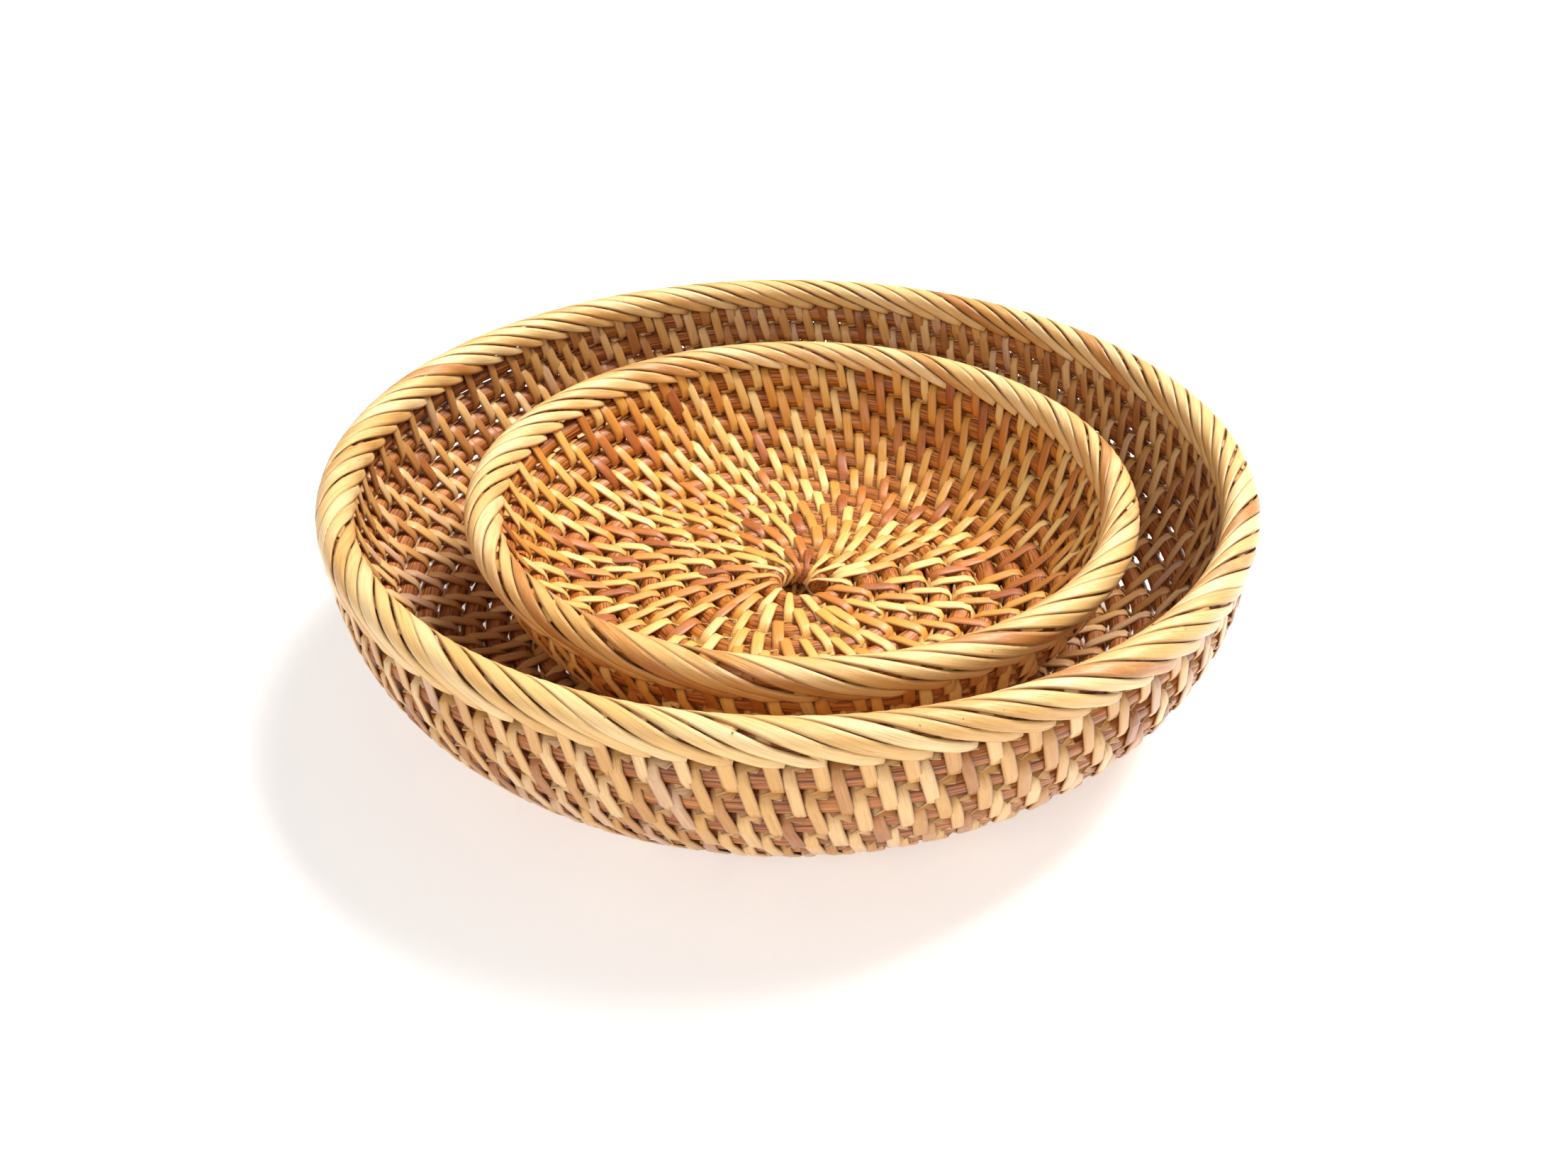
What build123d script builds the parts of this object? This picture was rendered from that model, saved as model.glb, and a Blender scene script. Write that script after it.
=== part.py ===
from build123d import *
import os
from math import ceil, cos, degrees, floor, pi, radians, sin, sqrt

# A nested pair of round coiled rattan baskets: a wide shallow tray and a smaller bowl that
# stands loose inside it. Each one is a single rattan rod wound as a spiral from the centre of
# the base up to the rim. Flat stitches of split cane bind every turn to the turn before it,
# and a closed rim rod with a cane wrap finishes the edge.
# Millimetres, +Z up, origin on the floor under the middle of the large basket.

# ---- driving dimensions ----
ROD_RADIUS = 3.4           # the wound rattan rod
TURN_GAP = 1.15            # wanted gap between one turn and the next
FIRST_TURN_RADIUS = 6.0    # where the spiral starts, round the small centre hole
END_GAP = 1.0              # between the ends of two spliced rods
SPLICE_TURNS = 2.2         # the longest run of one rod on the wall, in turns
ARCS_PER_TURN = 14         # pairs of arcs along one turn of a rod

STITCH_WIDTH = 2.6         # split cane that binds the turns
STITCH_THICKNESS = 0.5
STITCH_CLEARANCE = 0.35    # between a stitch and the rods inside it
STITCH_SLANT = 1.6         # sideways run from the middle of a stitch to its end
STITCH_APART = 0.5         # least gap between two stitches
FIRST_TURN_STITCHES = 14
MORE_EACH_TURN = 4.1       # stitches added on each turn of the base

WRAP_THICKNESS = 0.9       # cane wrap over the rim
WRAP_CLEARANCE = 0.2       # between the wrap and the stitches under it
WRAP_HALF_ANGLE = 104.0    # how far the wrap reaches down each side of the rim, from its top
WRAP_GAP = 0.5             # between one wrap and the next

NEST_CLEARANCE = 0.3       # between the floor of the tray and the bowl standing on it

LARGE_BASE_RADIUS = 85.8   # flat part of the base
LARGE_CORNER_RADIUS = 48.7
LARGE_WALL_ANGLE = 90.0    # slope of the wall above the corner, from the floor
LARGE_RIM_RISE = 60.0      # height of the rim rod above the base rods
LARGE_WALL_STITCHES = 82   # round one turn of the wall

SMALL_BASE_RADIUS = 58.0
SMALL_CORNER_RADIUS = 38.0
SMALL_WALL_ANGLE = 70.0
SMALL_RIM_RISE = 39.4
SMALL_WALL_STITCHES = 56
SMALL_OFFSET_X = 4.2       # the bowl stands a little off the middle
SMALL_OFFSET_Y = 1.2

# ---- values that follow ----
TURN_SPACING = 2 * ROD_RADIUS + TURN_GAP
STITCH_INNER = ROD_RADIUS + STITCH_CLEARANCE
STITCH_OUTER = STITCH_INNER + STITCH_THICKNESS
WRAP_INNER = STITCH_OUTER + WRAP_CLEARANCE
WRAP_OUTER = WRAP_INNER + WRAP_THICKNESS
LEVEL_FROM = 1 / 3         # each turn lies level up to here, then climbs to the next one
BLEND_FROM = 2.0           # from this turn to the last but one, the plain spiral turns level
RIM_TAKES_OVER = LEVEL_FROM + 0.06  # from here the rim's stitches also hold the climbing turn


def smooth(x):
    x = min(max(x, 0.0), 1.0)
    return x * x * (3 - 2 * x)


class Basket:
    """One basket: its wall line, and the spiral of rod that follows it."""

    def __init__(self, name, base_radius, corner_radius, wall_angle, rim_rise,
                 wall_stitches, floor_z, offset):
        self.name = name
        self.wall_stitches = wall_stitches
        self.base_radius = base_radius
        self.corner_radius = corner_radius
        self.wall_angle = radians(wall_angle)
        self.base_z = floor_z + STITCH_OUTER
        self.offset = offset
        corner_rise = corner_radius * (1 - cos(self.wall_angle))
        corner_length = corner_radius * self.wall_angle
        straight = (rim_rise - corner_rise) / sin(self.wall_angle)
        wall_line = base_radius + corner_length + straight
        self.rim_level = floor((wall_line - FIRST_TURN_RADIUS) / TURN_SPACING)
        self.spacing = (wall_line - FIRST_TURN_RADIUS) / self.rim_level
        self.last_turn = self.rim_level - 1

    def wall_point(self, s):
        """Radius, height and slope of the wall line at the distance s from the axis."""
        if s < self.base_radius:
            return s, self.base_z, 0.0
        angle = (s - self.base_radius) / self.corner_radius
        bend = min(angle, self.wall_angle)
        r = self.base_radius + self.corner_radius * sin(bend)
        z = self.base_z + self.corner_radius * (1 - cos(bend))
        if angle > self.wall_angle:
            straight = (angle - self.wall_angle) * self.corner_radius
            r += straight * cos(bend)
            z += straight * sin(bend)
        return r, z, bend

    def place(self, r, turn, z):
        """A point at the radius r and height z, in the direction of this part of a turn."""
        a = 2 * pi * turn
        return Vector(self.offset[0] + r * cos(a), self.offset[1] + r * sin(a), z)

    def level(self, t):
        """How many spacings out the rod is after t turns."""
        whole = floor(t)
        part = t - whole
        blend = (t - BLEND_FROM) / (self.last_turn - 1 - BLEND_FROM)
        blend = min(max(blend, 0.0), 1.0)
        climb = smooth((part - LEVEL_FROM) / (1 - LEVEL_FROM))
        return whole + (1 - blend) * part + blend * climb

    def at_level(self, level, turn):
        r, z, _ = self.wall_point(FIRST_TURN_RADIUS + self.spacing * level)
        return self.place(r, turn, z)

    def rod_point(self, t):
        return self.at_level(self.level(t), t)

    def outward(self, level, turn):
        """Unit vector from the inside face of the wall to its outside face."""
        _, _, slope = self.wall_point(FIRST_TURN_RADIUS + self.spacing * level)
        a = 2 * pi * turn
        return Vector(sin(slope) * cos(a), sin(slope) * sin(a), -cos(slope))


# ---- rods ----

def tangent_at(path, t, step=1e-4):
    return (path(t + step) - path(t - step)).normalized()


def two_arcs(start, start_dir, end, end_dir):
    """Two arcs that leave start along start_dir and reach end along end_dir."""
    v = end - start
    both = start_dir + end_dir
    turn = 1 - start_dir.dot(end_dir)
    if turn < 1e-9:
        reach = v.dot(v) / (4 * v.dot(end_dir))
    else:
        root = sqrt(v.dot(both) ** 2 + 2 * turn * v.dot(v))
        reach = (root - v.dot(both)) / (2 * turn)
    a = start + start_dir * reach
    b = end - end_dir * reach
    middle = (a + b) * 0.5
    middle_dir = (b - a).normalized()
    first = Edge.make_tangent_arc(start, start_dir, middle)
    return [first, Edge.make_tangent_arc(middle, middle_dir, end)]


def rod(path, t_start, t_end):
    """A round rod along a path, as a chain of tangent arcs."""
    count = max(2, round((t_end - t_start) * ARCS_PER_TURN))
    ts = [t_start + (t_end - t_start) * i / count for i in range(count + 1)]
    edges = []
    for a, b in zip(ts, ts[1:]):
        edges += two_arcs(path(a), tangent_at(path, a), path(b), tangent_at(path, b))
    wire = Wire(edges)
    section = Plane(wire @ 0, z_dir=wire % 0) * Circle(ROD_RADIUS)
    return sweep(section, path=wire)


def tail(basket):
    """The shaved end of the last turn: it thins out between the climbing turn and the rim."""
    sections = []
    turn = basket.last_turn + LEVEL_FROM
    end = turn + 0.40
    turn += turns_of_gap(basket, turn)
    free = basket.spacing - 2 * ROD_RADIUS
    steps = 6
    for i in range(steps + 1):
        t = turn + (end - turn) * i / steps
        climb = basket.level(t - 1) - (basket.last_turn - 1)
        radius = ROD_RADIUS - climb * basket.spacing / 2
        level = basket.level(t - 1) + (ROD_RADIUS + free + radius) / basket.spacing
        centre = basket.at_level(level, t)
        ahead = basket.place(1, t + 0.25, 0) - basket.place(0, t, 0)
        sections.append(Plane(centre, z_dir=ahead) * Circle(radius))
    return loft(sections)


def rim_rod(basket):
    r, z, _ = basket.wall_point(FIRST_TURN_RADIUS + basket.spacing * basket.rim_level)
    ring = Solid.make_torus(r, ROD_RADIUS)
    return Pos(basket.offset[0], basket.offset[1], z) * ring


def turns_of_gap(basket, t):
    """The gap between two spliced rods, in turns."""
    r, _, _ = basket.wall_point(FIRST_TURN_RADIUS + basket.spacing * t)
    return END_GAP / (2 * pi * r)


def wall_splices(basket):
    """Where the rods are spliced, in turns: the end of the base rod, then along the wall."""
    flat_turns = floor((basket.base_radius - FIRST_TURN_RADIUS) / basket.spacing)
    start = flat_turns + 0.1
    end = basket.last_turn + LEVEL_FROM
    count = ceil((end - start) / SPLICE_TURNS)
    return [start + (end - start) * i / count for i in range(count + 1)]


# ---- stitches ----

def stitch_parts(basket):
    """For each turn, where its stitches stand, as parts of a turn. They stand between those of
    the turn before, and where more are needed the widest gaps take two."""
    rows = {1: [i / FIRST_TURN_STITCHES for i in range(FIRST_TURN_STITCHES)]}
    for row in range(2, basket.rim_level + 1):
        before = rows[row - 1]
        gaps = list(zip(before, before[1:] + [before[0] + 1]))
        wanted = min(basket.wall_stitches,
                     round(FIRST_TURN_STITCHES + MORE_EACH_TURN * (row - 1)))
        order = sorted(range(len(gaps)),
                       key=lambda i: (round(gaps[i][0] - gaps[i][1], 6), i * 7 % 11))
        double = set(order[:max(0, wanted - len(gaps))])
        parts = []
        for i, (a, b) in enumerate(gaps):
            shares = (0.3, 0.7) if i in double else (0.5,)
            parts += [(a + share * (b - a)) % 1 for share in shares]
        parts.sort()
        while parts[0] + 1 - before[-1] < 0.6 / wanted:
            parts.pop(0)
        rows[row] = parts
    return rows


def stitch_slant(basket, row, parts):
    r, _, _ = basket.wall_point(FIRST_TURN_RADIUS + basket.spacing * (row - 0.5))
    return min(STITCH_SLANT, 0.16 * 2 * pi * r / len(parts))


def stitch_room(basket, placed, t, slant):
    """The widest that the stitch at t turns can be, beside its neighbours along the spiral and
    those of up to two turns further in or out."""
    r, _, _ = basket.wall_point(FIRST_TURN_RADIUS + basket.spacing * (t - 1))
    inner = r - STITCH_OUTER if r < basket.base_radius else r
    room = STITCH_WIDTH
    for near in (-2, -1, 0, 1, 2):
        circle = 2 * pi * (inner if near <= 0 else r)
        ways = [other - t - near for other in placed if other != t]
        room = min([room] + [abs(way * circle + slant * near) - STITCH_APART
                             for way in ways if abs(way) < 0.5])
    return room


def loop(span, width):
    """A flat stitch that goes round two rods: a closed band of stadium outline."""
    outer = SlotCenterToCenter(span, 2 * STITCH_OUTER)
    inner = SlotCenterToCenter(span, 2 * STITCH_INNER)
    return Pos(0, 0, -width / 2) * extrude(outer - inner, amount=width)


def placed_loop(basket, shapes, upper, lower, turn, slant, width):
    """A loop round the rods at two levels, leaning round the basket as it goes down."""
    top = basket.at_level(upper, turn)
    bottom = basket.at_level(lower, turn)
    out = basket.outward((upper + lower) / 2, turn)
    up = (top - bottom).normalized()
    side = out.cross(up)
    lean = slant / ((top - bottom).length / 2 + STITCH_OUTER)
    along = (up + side * lean).normalized()
    span = round((top - bottom).length * sqrt(1 + lean * lean), 1)
    if (span, width) not in shapes:
        shapes[span, width] = loop(span, width)
    plane = Plane((top + bottom) * 0.5, x_dir=along, z_dir=along.cross(out))
    return plane.location * shapes[span, width]


def stitch_rows(basket):
    """The stitches of each turn, as lists of separate bands. The last row joins the rim, and
    past the end of the last turn it takes over the places of the row before."""
    rows = stitch_parts(basket)
    last = basket.last_turn
    rows[basket.rim_level] = ([part for part in rows[basket.rim_level] if part <= RIM_TAKES_OVER]
                              + [part for part in rows[last] if part > RIM_TAKES_OVER])
    rows[last] = [part for part in rows[last] if part <= RIM_TAKES_OVER]
    placed = [row + part for row, parts in rows.items() for part in parts]
    shapes = {}
    made = {}
    for row, parts in rows.items():
        slant = stitch_slant(basket, row, parts)
        made[row] = []
        for part in parts:
            upper = basket.level(row + part)
            lower = basket.level(row - 1 + part)
            if row == basket.rim_level:
                upper = basket.rim_level
                lower = basket.last_turn
                if part > RIM_TAKES_OVER:
                    lower = basket.level(row - 2 + part)
            width = floor(stitch_room(basket, placed, row + part, slant) / 0.25) * 0.25
            if width > 0:
                made[row].append(placed_loop(basket, shapes, upper, lower, part, slant, width))
    return made


# ---- rim wrap ----

def wrap_section(basket):
    """The open C of the wrap over the rim rod, in the X-Z plane."""
    r, z, slope = basket.wall_point(FIRST_TURN_RADIUS + basket.spacing * basket.rim_level)
    top = degrees(slope)
    start = top - WRAP_HALF_ANGLE
    size = 2 * WRAP_HALF_ANGLE
    outer = CenterArc((0, 0), WRAP_OUTER, start, size)
    inner = CenterArc((0, 0), WRAP_INNER, start, size)
    ends = [Line(outer @ 0, inner @ 0), Line(outer @ 1, inner @ 1)]
    face = make_face(Curve() + [outer, inner] + ends)
    return Plane(origin=(r, 0, z), x_dir=(1, 0, 0), z_dir=(0, -1, 0)) * face, r


def rim_wraps(basket):
    section, r = wrap_section(basket)
    count = basket.wall_stitches
    size = 360 / count - degrees(WRAP_GAP / r)
    wrap = revolve(section, axis=Axis.Z, revolution_arc=size)
    place = Pos(basket.offset[0], basket.offset[1], 0)
    return [place * Rot(0, 0, 360 * i / count) * wrap for i in range(count)]


# ---- build ----

def write(node, *solids):
    bodies = [s for shape in solids for s in shape.solids()]
    shape = bodies[0] if len(bodies) == 1 else Compound(children=bodies)
    export_step(shape, f"parts/{node}.step")
    print(f"{node}: {len(bodies)} solids")


def build(basket):
    name = basket.name
    splices = wall_splices(basket)
    write(f"{name}_base_rod", rod(basket.rod_point, 0.0, splices[0]))
    for i, (start, end) in enumerate(zip(splices, splices[1:])):
        start += turns_of_gap(basket, start)
        write(f"{name}_wall_rod_{i + 1}", rod(basket.rod_point, start, end))
    write(f"{name}_tapered_rod_end", tail(basket))
    write(f"{name}_rim_rod", rim_rod(basket))
    write(f"{name}_rim_wraps", *rim_wraps(basket))
    for row, stitches in stitch_rows(basket).items():
        write(f"{name}_stitches_turn_{row:02d}", *stitches)


os.makedirs("parts", exist_ok=True)
large = Basket("large", LARGE_BASE_RADIUS, LARGE_CORNER_RADIUS, LARGE_WALL_ANGLE,
               LARGE_RIM_RISE, LARGE_WALL_STITCHES, 0.0, (0.0, 0.0))
small_floor = large.base_z + STITCH_OUTER + NEST_CLEARANCE
small = Basket("small", SMALL_BASE_RADIUS, SMALL_CORNER_RADIUS, SMALL_WALL_ANGLE,
               SMALL_RIM_RISE, SMALL_WALL_STITCHES, small_floor,
               (SMALL_OFFSET_X, SMALL_OFFSET_Y))
build(large)
build(small)
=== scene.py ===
import bpy
import random
from math import cos, floor, hypot, pi, radians, sin
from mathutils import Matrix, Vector


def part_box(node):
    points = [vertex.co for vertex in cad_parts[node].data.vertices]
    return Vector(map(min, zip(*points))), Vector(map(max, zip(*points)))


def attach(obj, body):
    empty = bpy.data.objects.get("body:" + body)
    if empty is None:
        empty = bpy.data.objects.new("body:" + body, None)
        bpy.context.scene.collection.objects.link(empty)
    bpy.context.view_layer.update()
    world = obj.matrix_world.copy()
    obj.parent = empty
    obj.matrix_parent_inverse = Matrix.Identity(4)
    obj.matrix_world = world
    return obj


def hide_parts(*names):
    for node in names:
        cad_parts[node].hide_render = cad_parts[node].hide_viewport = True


# Two nested coiled rattan baskets. Metres, +Z up. The rods come with the frame. The cane
# stitches that bind their turns and the cane wrap over each rim are made here.

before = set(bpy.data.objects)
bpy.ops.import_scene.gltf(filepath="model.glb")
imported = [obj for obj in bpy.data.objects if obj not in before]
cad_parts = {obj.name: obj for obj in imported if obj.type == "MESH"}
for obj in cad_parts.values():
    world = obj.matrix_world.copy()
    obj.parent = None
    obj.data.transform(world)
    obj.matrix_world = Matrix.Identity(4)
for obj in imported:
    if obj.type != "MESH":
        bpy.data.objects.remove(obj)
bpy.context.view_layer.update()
random.seed(7)

# ---- sizes shared with the frame ----
ROD = 0.0034                # radius of the wound rod
FIRST_TURN = 0.0060         # radius where the spiral starts
TURN_SPACING = 2 * ROD + 0.00115   # wanted distance between turns
LEVEL_FROM = 1 / 3          # a turn lies level up to here, then climbs
BLEND_FROM = 2.0            # from this turn to the last but one, the plain spiral turns level
RIM_TAKES_OVER = LEVEL_FROM + 0.06   # from here the rim's stitches also hold the climbing turn
FIRST_STITCHES = 14         # stitches on the innermost turn
MORE_EACH_TURN = 4.1
TWO_IN_A_GAP = (0.3, 0.7)   # shares of a wide gap where its two stitches stand
NO_ROOM = 0.6               # share of a spacing under which the seam drops a stitch

# ---- stitches of cane ----
STITCH_WIDTH = 0.0037
STITCH_THICK = 0.00066
STITCH_SLANT = 0.0020       # sideways run of half a stitch
STITCH_LIFT = 0.0001        # between the rod and the cane
STITCH_WIDTHS = (0.84, 1.08)   # a stitch's width, slant and thickness differ by these shares
STITCH_SLANTS = (0.8, 1.2)
STITCH_THICKS = (0.85, 1.1)
STITCH_JITTER = 0.03        # share of a spacing that a stitch or a wrap stands off its place
WIDEST_STITCH = 0.95        # largest width as a share of a spacing
LARGEST_SLANT = 0.3         # largest slant as a share of a spacing
GAP_WIDTH = 2.1             # between two rods a stitch is this many times wider
GAP_THICK = 1.25            # and this many times thicker
EDGE_ON = 0.1               # a section that faces out less than this lies between two rods
PLAIN_GAP_WITHIN = 0.020    # nearer the centre than this it is no wider there
NARROWS_WITHIN = 0.012      # nearer the centre than this it narrows towards the centre
NARROWEST = 0.5             # and keeps at least this share of its width
SLANT_TURNS = 2.7           # how sharply the slant changes sides between two rods
ROD_END_COVER = 0.035       # the first stitch stands this part of a turn over the rod's end
END_ANGLES = (0, 40, 68, 90, 112, 140, 180)   # where a stitch has its cross-sections round a rod

# ---- wrap of cane over a rim ----
WRAP_THICK = 0.0008
WRAP_RUN = 6                # stitch spacings that one wrap runs along the rim
WRAP_COVER = 1.04           # share of the rim that the wraps cover
WRAP_WIDTHS = (0.82, 1.08)  # a wrap's width and run differ by these shares
WRAP_RUNS = (0.97, 1.03)
WRAP_INNER = ROD + STITCH_LIFT + STITCH_THICK + 0.00015   # radius of the wrap's inner face
WRAP_DROP = 0.0026          # straight run below the rim rod's middle, on both sides
WRAP_TUCK = 0.0022          # run of each end, which turns in under the rim
TUCK_FALL = 0.8             # share of the tuck that goes down
TUCK_DEPTH = 0.0012         # how far the tuck goes in
TUCK_LEAN = 0.2             # how far its outer face looks up
WRAP_GIRTH = 2 * (WRAP_DROP + WRAP_TUCK) + pi * WRAP_INNER
WRAP_SECTIONS = 27
WRAP_END_WIDTH = 0.6        # share of the width at a wrap's ends
WRAP_WIDENING = 3.0         # how soon it reaches its full width

TINY = 0.001                # a short step, from which a direction is measured


def clamp(x, low=0.0, high=1.0):
    return min(max(x, low), high)


def smooth(x):
    x = clamp(x)
    return x * x * (3 - 2 * x)


def jitter(count):
    """A small random part of a turn, for one of count places round it."""
    return random.uniform(-STITCH_JITTER, STITCH_JITTER) / count


class Basket:
    """The wall line of a basket and the spiral of rod along it, measured from its rods."""

    def __init__(self, name, base_radius, corner_radius, wall_angle, wall_stitches):
        low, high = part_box(f"{name}_rim_rod")
        self.name = name
        self.body = f"{name}_basket"
        self.centre = ((low.x + high.x) / 2, (low.y + high.y) / 2)
        self.base_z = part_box(f"{name}_base_rod")[0].z + ROD
        self.base_radius = base_radius
        self.corner_radius = corner_radius
        self.wall_angle = radians(wall_angle)
        rim_rise = (low.z + high.z) / 2 - self.base_z
        corner_rise = corner_radius * (1 - cos(self.wall_angle))
        straight = (rim_rise - corner_rise) / sin(self.wall_angle)
        wall_line = base_radius + corner_radius * self.wall_angle + straight
        self.rim_level = floor((wall_line - FIRST_TURN) / TURN_SPACING)
        self.spacing = (wall_line - FIRST_TURN) / self.rim_level
        self.last_turn = self.rim_level - 1
        self.wall_stitches = wall_stitches

    def wall_point(self, level):
        """Radius, height and slope of the wall line at a level."""
        s = FIRST_TURN + self.spacing * level
        if s < self.base_radius:
            return s, self.base_z, 0.0
        angle = (s - self.base_radius) / self.corner_radius
        bend = min(angle, self.wall_angle)
        r = self.base_radius + self.corner_radius * sin(bend)
        z = self.base_z + self.corner_radius * (1 - cos(bend))
        if angle > self.wall_angle:
            straight = (angle - self.wall_angle) * self.corner_radius
            r += straight * cos(bend)
            z += straight * sin(bend)
        return r, z, bend

    def level(self, t):
        """The level that the rod reaches after t turns."""
        whole = floor(t)
        part = t - whole
        blend = clamp((t - BLEND_FROM) / (self.last_turn - 1 - BLEND_FROM))
        climb = smooth((part - LEVEL_FROM) / (1 - LEVEL_FROM))
        return whole + (1 - blend) * part + blend * climb

    def place(self, level, turn, along=0.0, out=0.0, side=0.0):
        """A point near the rod at a level and turn: moved up the wall, outwards and round it."""
        r, z, slope = self.wall_point(level)
        r += along * cos(slope) + out * sin(slope)
        z += along * sin(slope) - out * cos(slope)
        a = 2 * pi * turn
        x = r * cos(a) - side * sin(a)
        y = r * sin(a) + side * cos(a)
        return Vector((self.centre[0] + x, self.centre[1] + y, z))

    def place_and_normal(self, level, turn, along, out, direction, side=0.0):
        """The same point, and the direction (along, out) as a unit vector there."""
        point = self.place(level, turn, along, out, side)
        tip = self.place(level, turn, along + direction[0] * TINY, out + direction[1] * TINY, side)
        return point, (tip - point).normalized()

    def stitch_count(self, row):
        return min(self.wall_stitches, round(FIRST_STITCHES + MORE_EACH_TURN * (row - 1)))


def stitch_parts(basket):
    """For each turn, where its stitches stand, as parts of a turn. They stand between those of
    the turn before, and where more are needed the widest gaps take two."""
    count = basket.stitch_count(1)
    rows = {1: [i / count for i in range(count)]}
    for row in range(2, basket.rim_level + 1):
        before = rows[row - 1]
        wanted = basket.stitch_count(row)
        gaps = list(zip(before, before[1:] + [before[0] + 1]))
        # equal gaps are taken from all round the turn, not one after another
        widest = sorted(range(len(gaps)), key=lambda i: (round(gaps[i][0] - gaps[i][1], 6), i * 7 % 11))
        double = set(widest[:max(0, wanted - len(gaps))])
        parts = []
        for i, (a, b) in enumerate(gaps):
            shares = TWO_IN_A_GAP if i in double else (0.5,)
            parts += [(a + share * (b - a)) % 1 for share in shares]
        parts.sort()
        while parts[0] + 1 - before[-1] < NO_ROOM / wanted:
            parts.pop(0)
        rows[row] = parts
    last = rows[basket.last_turn]
    rows[basket.rim_level] = ([part for part in rows[basket.rim_level] if part <= RIM_TAKES_OVER]
                              + [part for part in last if part > RIM_TAKES_OVER])
    rows[basket.last_turn] = [part for part in last if part <= RIM_TAKES_OVER]
    return rows


# ---- strips of cane ----

# the strip's cross-section: across in half widths, and height in thicknesses
CROWN = ((-1.0, 0.0), (-0.97, 0.66), (-0.55, 0.96), (0.5, 1.0), (0.97, 0.62), (1.0, 0.0))
UV_SCALE = 100              # the UV map's length is in centimetres


class Strips:
    """A mesh of many cane strips, with the length along each strip and the place across it as
    its UV map, and one tone for each strip."""

    def __init__(self, name):
        self.name = name
        self.points = []
        self.faces = []
        self.uvs = []
        self.tones = []

    def add(self, path, normals, widths, thicks, tone, closed):
        """path: middle line on the strip's inner face; normals point out of its outer face."""
        n = len(path)
        first = len(self.points)
        length = 0.0
        lengths = []
        for i, p in enumerate(path):
            if i:
                length += (p - path[i - 1]).length
            lengths.append(length)
            ahead = path[(i + 1) % n] if closed or i < n - 1 else p
            behind = path[i - 1] if closed or i else p
            across = normals[i].cross(ahead - behind).normalized()
            for x, h in CROWN:
                self.points.append(p + across * (x * widths[i] / 2) + normals[i] * (h * thicks[i]))
        size = len(CROWN)
        rings = n if closed else n - 1
        total = length + (path[0] - path[-1]).length if closed else length
        for i in range(rings):
            j = (i + 1) % n
            u0 = lengths[i]
            u1 = total if j == 0 else lengths[j]
            for k in range(size):
                m = (k + 1) % size
                self.faces.append((first + i * size + m, first + i * size + k,
                                   first + j * size + k, first + j * size + m))
                v0 = CROWN[k][0]
                v1 = CROWN[m][0]
                self.uvs += [(u0, v1), (u0, v0), (u1, v0), (u1, v1)]
                self.tones.append(tone)
        if not closed:
            last = first + (n - 1) * size
            self.faces.append(tuple(range(first, first + size)))
            self.faces.append(tuple(range(last + size - 1, last - 1, -1)))
            for _ in range(2):
                self.uvs += [(0.0, 0.0)] * size
                self.tones.append(tone)

    def finish(self, body, material, slot):
        """Makes the mesh's object and puts it on its body."""
        mesh = bpy.data.meshes.new(self.name)
        mesh.from_pydata([tuple(p) for p in self.points], [], self.faces)
        uv = mesh.uv_layers.new(name="cane")
        for i, (u, v) in enumerate(self.uvs):
            uv.data[i].uv = (u * UV_SCALE, v)
        tone = mesh.attributes.new("tone", "FLOAT", "FACE")
        for i, value in enumerate(self.tones):
            tone.data[i].value = value
        mesh.polygons.foreach_set("use_smooth", [True] * len(mesh.polygons))
        mesh.materials.append(material)
        mesh.validate()
        mesh.update()
        piece = bpy.data.objects.new(self.name, mesh)
        bpy.context.scene.collection.objects.link(piece)
        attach(piece, body)
        return piece


# ---- stitches ----

def loop_outline(half, radius):
    """Points and directions round a stadium, from its upper end: (along, out, (along, out))."""
    outline = []
    for end, middle in ((0, half), (180, -half)):
        for degree in END_ANGLES:
            a = radians(end + degree)
            outline.append((middle + radius * sin(a), radius * cos(a), (sin(a), cos(a))))
    return outline


def add_stitch(strips, basket, upper, lower, turn, row_count):
    """One stitch round two rods at the levels upper and lower, in a row of row_count."""
    middle = (upper + lower) / 2
    half = (upper - lower) / 2 * basket.spacing
    radius = ROD + STITCH_LIFT
    _, _, slope = basket.wall_point(middle)
    r, _, _ = basket.wall_point(lower)
    room = 2 * pi * r / row_count
    width = min(STITCH_WIDTH * random.uniform(*STITCH_WIDTHS), WIDEST_STITCH * room)
    slant = min(STITCH_SLANT * random.uniform(*STITCH_SLANTS), LARGEST_SLANT * room)
    thick = STITCH_THICK * random.uniform(*STITCH_THICKS)
    tone = random.random()
    path, normals, widths, thicks = [], [], [], []
    for along, out, direction in loop_outline(half, radius):
        facing = out / radius
        side = -slant * clamp(along / (half + radius), -1.0) * clamp(facing * SLANT_TURNS, -1.0)
        point, normal = basket.place_and_normal(middle, turn, along, out, direction, side)
        path.append(point)
        normals.append(normal)
        in_gap = abs(facing) < EDGE_ON and r > PLAIN_GAP_WITHIN
        narrowed = clamp(1 + along * cos(slope) / r, NARROWEST) if r < NARROWS_WITHIN else 1.0
        widths.append(width * narrowed * (GAP_WIDTH if in_gap else 1.0))
        thicks.append(thick * (GAP_THICK if in_gap else 1.0))
    strips.add(path, normals, widths, thicks, tone, True)


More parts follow.
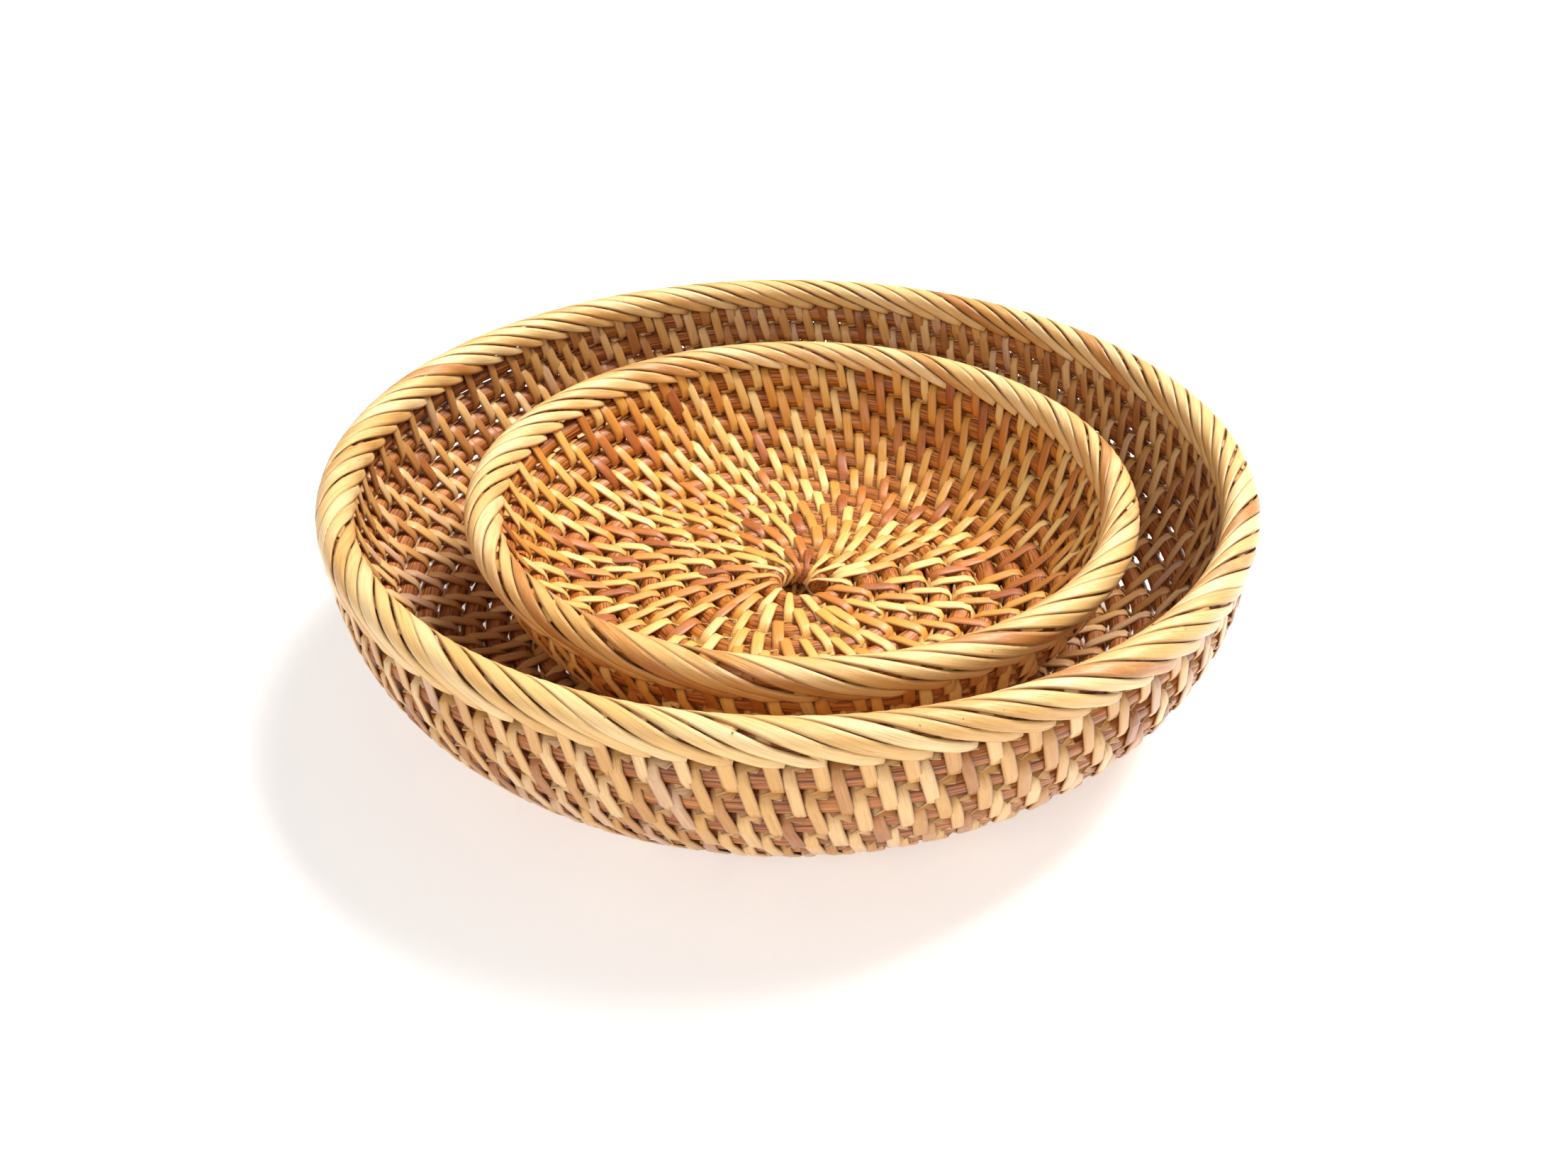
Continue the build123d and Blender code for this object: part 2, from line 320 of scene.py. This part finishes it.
def build_stitches(basket, material, slot):
    """One piece for each turn's stitches, in place of the frame's plain ones."""
    for row, parts in stitch_parts(basket).items():
        strips = Strips(f"{basket.name}_stitches_{row:02d}")
        count = basket.stitch_count(row)
        for i, part in enumerate(parts):
            turn = part + jitter(count)
            if row == basket.rim_level:
                upper = basket.rim_level
                on_last = part <= RIM_TAKES_OVER
                lower = basket.last_turn if on_last else basket.level(row - 2 + part)
            else:
                upper = basket.level(row + part)
                lower = basket.level(row - 1 + part)
            if row == 1 and i == 0:
                turn -= ROD_END_COVER
            add_stitch(strips, basket, upper, lower, turn, count)
        piece = strips.finish(basket.body, material, slot)
        node = f"{basket.name}_stitches_turn_{row:02d}"
        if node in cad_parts:
            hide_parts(node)


# ---- rim wraps ----

def wrap_section(d):
    """The place on a wrap's inner face at a distance d over the rim, from the inner end:
    (along, out, (along, out) of its direction)."""
    over = d - WRAP_TUCK - WRAP_DROP
    down = over - pi * WRAP_INNER
    if d < WRAP_TUCK:
        x = 1 - d / WRAP_TUCK
        along = -WRAP_DROP - WRAP_TUCK * TUCK_FALL * x
        return along, TUCK_DEPTH * x ** 2 - WRAP_INNER, (TUCK_LEAN, -1.0)
    if over < 0:
        return over, -WRAP_INNER, (0.0, -1.0)
    if down < 0:
        a = over / WRAP_INNER
        return WRAP_INNER * sin(a), -WRAP_INNER * cos(a), (sin(a), -cos(a))
    if down < WRAP_DROP:
        return -down, WRAP_INNER, (0.0, 1.0)
    x = min(1.0, (down - WRAP_DROP) / WRAP_TUCK)
    along = -WRAP_DROP - WRAP_TUCK * TUCK_FALL * x
    return along, WRAP_INNER - TUCK_DEPTH * x ** 2, (TUCK_LEAN, 1.0)


def build_wrap(basket, material, slot):
    """Strips that run up from inside, over the rim and down outside."""
    strips = Strips(f"{basket.name}_rim_wrap")
    r, _, _ = basket.wall_point(basket.rim_level)
    count = basket.wall_stitches
    spacing = 2 * pi * r / count
    apart = spacing * WRAP_GIRTH / hypot(WRAP_GIRTH, WRAP_RUN * spacing)
    for i in range(count):
        start = (i + 0.5) / count + jitter(count)
        run = WRAP_RUN / count * random.uniform(*WRAP_RUNS)
        tone = random.random()
        width = apart * WRAP_COVER * random.uniform(*WRAP_WIDTHS)
        path, normals, widths = [], [], []
        for k in range(WRAP_SECTIONS):
            u = k / (WRAP_SECTIONS - 1)
            along, out, direction = wrap_section(u * WRAP_GIRTH)
            point, normal = basket.place_and_normal(basket.rim_level, start + run * u, along, out,
                                                    direction)
            path.append(point)
            normals.append(normal)
            widths.append(width * min(1.0, WRAP_END_WIDTH + WRAP_WIDENING * min(u, 1 - u)))
        strips.add(path, normals, widths, [WRAP_THICK] * WRAP_SECTIONS, tone, False)
    piece = strips.finish(basket.body, material, slot)
    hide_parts(f"{basket.name}_rim_wraps")


# ---- materials ----

class Value:
    """A socket of a shader tree, with arithmetic as nodes."""

    def __init__(self, tree, socket):
        self.tree = tree
        self.socket = socket

    def maths(self, operation, *others, clamp=False):
        node = self.tree.nodes.new("ShaderNodeMath")
        node.operation = operation
        node.use_clamp = clamp
        for i, other in enumerate((self, *others)):
            if isinstance(other, Value):
                self.tree.links.new(other.socket, node.inputs[i])
            else:
                node.inputs[i].default_value = other
        return Value(self.tree, node.outputs[0])

    def __add__(self, other):
        return self.maths("ADD", other)

    __radd__ = __add__

    def __sub__(self, other):
        return self.maths("SUBTRACT", other)

    def __mul__(self, other):
        return self.maths("MULTIPLY", other)

    def spread(self, low, high):
        """0 below low and 1 above high."""
        return (self - low).maths("MULTIPLY", 1 / (high - low), clamp=True)


class Shader:
    """A material's tree: its Principled shader and the few nodes that the canes share."""

    def __init__(self, name, roughness, coat=0.0):
        self.material = bpy.data.materials.new(name)
        self.material.use_nodes = True
        self.tree = self.material.node_tree
        self.shader = self.tree.nodes["Principled BSDF"]
        self.shader.inputs["Coat Weight"].default_value = coat
        self.shader.inputs["Coat Roughness"].default_value = 0.3
        self.shader.inputs["Roughness"].default_value = roughness
        self.shader.inputs["Specular IOR Level"].default_value = 0.4

    def node(self, kind, **settings):
        node = self.tree.nodes.new(f"ShaderNode{kind}")
        for key, value in settings.items():
            setattr(node, key, value)
        return node

    def value(self, socket):
        return Value(self.tree, socket)

    def attribute(self, name):
        return self.value(self.node("Attribute", attribute_name=name).outputs["Fac"])

    def vector(self, x, y, z):
        node = self.node("CombineXYZ")
        for i, part in enumerate((x, y, z)):
            if isinstance(part, Value):
                self.tree.links.new(part.socket, node.inputs[i])
            else:
                node.inputs[i].default_value = part
        return node.outputs[0]

    def noise(self, vector, scale, detail=3.0, roughness=0.55):
        node = self.node("TexNoise")
        node.inputs["Scale"].default_value = scale
        node.inputs["Detail"].default_value = detail
        node.inputs["Roughness"].default_value = roughness
        self.tree.links.new(vector, node.inputs["Vector"])
        return self.value(node.outputs["Fac"])

    def ramp(self, value, stops):
        """A colour from a value, through stops of (place, colour)."""
        node = self.node("ValToRGB")
        ramp = node.color_ramp
        while len(ramp.elements) < len(stops):
            ramp.elements.new(0.5)
        for element, (place, colour) in zip(ramp.elements, stops):
            element.position = place
            element.color = (*colour, 1.0)
        self.tree.links.new(value.socket, node.inputs[0])
        return node.outputs[0]

    def mix(self, share, a, b, blend="MIX"):
        node = self.node("Mix", data_type="RGBA", blend_type=blend)
        if isinstance(share, Value):
            self.tree.links.new(share.socket, node.inputs[0])
        else:
            node.inputs[0].default_value = share
        for socket, colour in ((node.inputs[6], a), (node.inputs[7], b)):
            if isinstance(colour, tuple):
                socket.default_value = (*colour, 1.0)
            else:
                self.tree.links.new(colour, socket)
        return node.outputs[2]

    def finish(self, colour, roughness, height, distance):
        """Links the looks to the shader, with height as a bump of that distance."""
        self.tree.links.new(colour, self.shader.inputs["Base Color"])
        self.tree.links.new(roughness.socket, self.shader.inputs["Roughness"])
        bump = self.node("Bump")
        bump.inputs["Strength"].default_value = 0.6
        bump.inputs["Distance"].default_value = distance
        self.tree.links.new(height.socket, bump.inputs["Height"])
        self.tree.links.new(bump.outputs[0], self.shader.inputs["Normal"])
        return self.material


def cane_material(name, tones, edge_shade, fleck, fleck_share):
    """Split cane: fibres along the strip, its own tone, edges darkened as painted shade, and flaked
    blotches.
    """
    s = Shader(name, 0.42, coat=0.25)
    uv = s.node("UVMap", uv_map="cane").outputs[0]
    split = s.node("SeparateXYZ")
    s.tree.links.new(uv, split.inputs[0])
    along, across = s.value(split.outputs[0]), s.value(split.outputs[1])
    tone = s.attribute("tone")
    fibre = s.noise(s.vector(along * 0.5, across * 9, tone * 37), 1.0, 4.0)
    fine = s.noise(s.vector(along * 1.4, across * 26, tone * 53), 1.0, 2.0)
    patch = s.noise(s.vector(along * 1.1, across * 1.3, tone * 71), 1.0, 3.0)
    colour = s.ramp(tone + (patch - 0.5) * 0.25, tones)
    streak = (fibre - 0.5) * 0.75 + (fine - 0.5) * 0.5 + 0.5
    shade = s.ramp(streak, ((0.25, (0.42, 0.26, 0.14)), (0.45, (0.92, 0.86, 0.78)), (0.7, (1.0, 1.0, 1.0))))
    colour = s.mix(1.0, colour, shade, "MULTIPLY")
    side = across.maths("ABSOLUTE")
    # painted shade: the strip's sides are darkened towards the edge colour, where they turn away from the
    # light and dip between neighbouring strips
    colour = s.mix(side.spread(0.72, 1.0) * 0.75, colour, edge_shade)
    flake = s.noise(s.vector(along * 0.8, across * 2.2, tone * 91 + 5), 1.0, 5.0, 0.7)
    flaked = flake.spread(1 - fleck_share, 1.06 - fleck_share)
    colour = s.mix(flaked * 0.8, colour, fleck)
    rough = 0.34 + flaked * 0.25 + (fine - 0.5) * 0.25
    return s.finish(colour, rough, fibre * 0.5 + fine * 0.5 - flaked * 0.6, 0.0003)


def rod_material(name, centre, tones):
    """Rattan rod: long fibres round the basket, with darker and lighter lengths."""
    s = Shader(name, 0.5, coat=0.06)
    coords = s.node("TexCoord").outputs["Object"]
    split = s.node("SeparateXYZ")
    s.tree.links.new(coords, split.inputs[0])
    x = s.value(split.outputs[0]) - centre[0]
    y = s.value(split.outputs[1]) - centre[1]
    z = s.value(split.outputs[2])
    around = y.maths("ARCTAN2", x)
    r = (x * x + y * y).maths("SQRT")
    c, sn = around.maths("COSINE"), around.maths("SINE")
    fibre = s.noise(s.vector(c * 5 + r * 1300, sn * 5 + z * 1300, r * 500 - z * 500), 1.0, 4.0)
    line = s.noise(s.vector(c * 6 + r * 1700, sn * 6 - z * 1700, r * 900 + z * 900), 1.0, 2.0)
    fine = s.noise(s.vector(c * 9 + r * 3000, sn * 9 + z * 3000, r * 1500), 1.0, 3.0)
    patch = s.noise(s.vector(c * 4, sn * 4, (r + z) * 90), 1.3, 3.0)
    colour = s.ramp(patch * 0.75 + (fibre - 0.5) * 0.8 + 0.12, tones)
    shade = s.ramp(line * 0.65 + fine * 0.35,
                   ((0.40, (0.22, 0.10, 0.05)), (0.50, (0.85, 0.76, 0.66)), (0.62, (1.0, 1.0, 1.0))))
    colour = s.mix(0.95, colour, shade, "MULTIPLY")
    return s.finish(colour, 0.42 + (fine - 0.5) * 0.3, line * 0.6 + fine * 0.4, 0.0005)


LARGE_STITCH = ((0.0, (0.36, 0.11, 0.03)), (0.12, (0.54, 0.24, 0.07)), (0.35, (0.70, 0.38, 0.12)),
                (0.6, (0.80, 0.47, 0.17)), (0.85, (0.87, 0.59, 0.29)), (1.0, (0.60, 0.35, 0.24)))
SMALL_STITCH = ((0.0, (0.36, 0.09, 0.02)), (0.15, (0.62, 0.22, 0.04)), (0.4, (0.78, 0.38, 0.07)),
                (0.7, (0.88, 0.53, 0.14)), (1.0, (0.92, 0.66, 0.27)))
RIM = ((0.0, (0.56, 0.23, 0.06)), (0.15, (0.80, 0.47, 0.16)), (0.5, (0.90, 0.60, 0.25)),
       (0.85, (0.94, 0.70, 0.37)), (1.0, (0.76, 0.40, 0.11)))
LARGE_ROD = ((0.0, (0.12, 0.026, 0.007)), (0.3, (0.33, 0.10, 0.024)), (0.6, (0.54, 0.20, 0.05)),
             (1.0, (0.74, 0.36, 0.11)))
SMALL_ROD = ((0.0, (0.12, 0.025, 0.006)), (0.3, (0.36, 0.10, 0.016)), (0.6, (0.60, 0.22, 0.036)),
             (1.0, (0.80, 0.39, 0.09)))
# the edge colours are painted shade along each strip's sides; the flecks are the cane's own flaked spots
STITCH_EDGE_SHADE, STITCH_FLECK, STITCH_FLECK_SHARE = (0.36, 0.18, 0.07), (0.42, 0.20, 0.07), 0.28
RIM_EDGE_SHADE, RIM_FLECK, RIM_FLECK_SHARE = (0.45, 0.25, 0.09), (0.50, 0.26, 0.09), 0.34


def dress(basket, stitch_tones, rod_tones):
    """Gives the basket its looks: the rods' rattan, the stitches and the rim wrap."""
    name = basket.name
    stitch = cane_material(f"{name}_stitch_cane", stitch_tones, STITCH_EDGE_SHADE, STITCH_FLECK,
                           STITCH_FLECK_SHARE)
    rim = cane_material(f"{name}_rim_cane", RIM, RIM_EDGE_SHADE, RIM_FLECK, RIM_FLECK_SHARE)
    rod = rod_material(f"{name}_rod_rattan", basket.centre, rod_tones)
    for node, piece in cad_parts.items():
        if node.startswith(name) and "rod" in node:
            piece.data.materials.clear()
            piece.data.materials.append(rod)
            piece.data.polygons.foreach_set("use_smooth", [True] * len(piece.data.polygons))
    build_stitches(basket, stitch, f"stitch_cane_{name}")
    build_wrap(basket, rim, f"rim_cane_{name}")


large = Basket("large", base_radius=0.0858, corner_radius=0.0487, wall_angle=90.0, wall_stitches=82)
small = Basket("small", base_radius=0.0580, corner_radius=0.0380, wall_angle=70.0, wall_stitches=56)
dress(large, LARGE_STITCH, LARGE_ROD)
dress(small, SMALL_STITCH, SMALL_ROD)

# ---- floor, light and camera ----

AIM = (0, 0, 0.03)
LENS = 28.31
CAMERA_PLACE = (0.0, -0.3397, 0.2439)
CAMERA_PITCH = radians(34.22)
CAMERA_PAN = -0.0034


def lay_floor():
    material = bpy.data.materials.new("studio_floor")
    material.use_nodes = True
    shader = material.node_tree.nodes["Principled BSDF"]
    shader.inputs["Base Color"].default_value = (0.9, 0.9, 0.9, 1)
    shader.inputs["Emission Color"].default_value = (1.0, 0.99, 0.98, 1)
    shader.inputs["Emission Strength"].default_value = 0.42
    shader.inputs["Roughness"].default_value = 0.6
    shader.inputs["Specular IOR Level"].default_value = 0.2
    bpy.ops.mesh.primitive_plane_add(size=8, location=(0, 0, 0))
    plane = bpy.context.object
    plane.name = "studio_floor"
    plane.data.materials.append(material)


def light_world():
    world = bpy.data.worlds.new("studio")
    world.use_nodes = True
    background = world.node_tree.nodes["Background"]
    background.inputs["Color"].default_value = (0.96, 0.98, 1.0, 1)
    background.inputs["Strength"].default_value = 0.28
    bpy.context.scene.world = world
    bpy.context.scene.view_settings.view_transform = "Standard"


def aim(thing, place, direction):
    thing.location = place
    thing.rotation_mode = "QUATERNION"
    thing.rotation_quaternion = direction.to_track_quat("-Z", "Y")


def area_light(name, place, size, power, colour):
    data = bpy.data.lights.new(name, "AREA")
    data.size = size
    data.energy = power
    data.color = colour
    light = bpy.data.objects.new(name, data)
    bpy.context.scene.collection.objects.link(light)
    aim(light, place, Vector(AIM) - Vector(place))


def place_camera():
    data = bpy.data.cameras.new("camera")
    data.lens = LENS
    data.sensor_width = 36
    data.clip_start = 0.01
    camera = bpy.data.objects.new("camera", data)
    bpy.context.scene.collection.objects.link(camera)
    direction = Vector((sin(CAMERA_PAN), cos(CAMERA_PAN), 0)) * cos(CAMERA_PITCH)
    direction.z = -sin(CAMERA_PITCH)
    aim(camera, CAMERA_PLACE, direction)
    bpy.context.scene.camera = camera


lay_floor()
light_world()
area_light("key", (0.62, 0.5, 1.25), 0.75, 42, (1.0, 0.985, 0.95))
area_light("fill", (-0.4, -1.3, 0.9), 0.9, 10, (1.0, 0.98, 0.95))
place_camera()
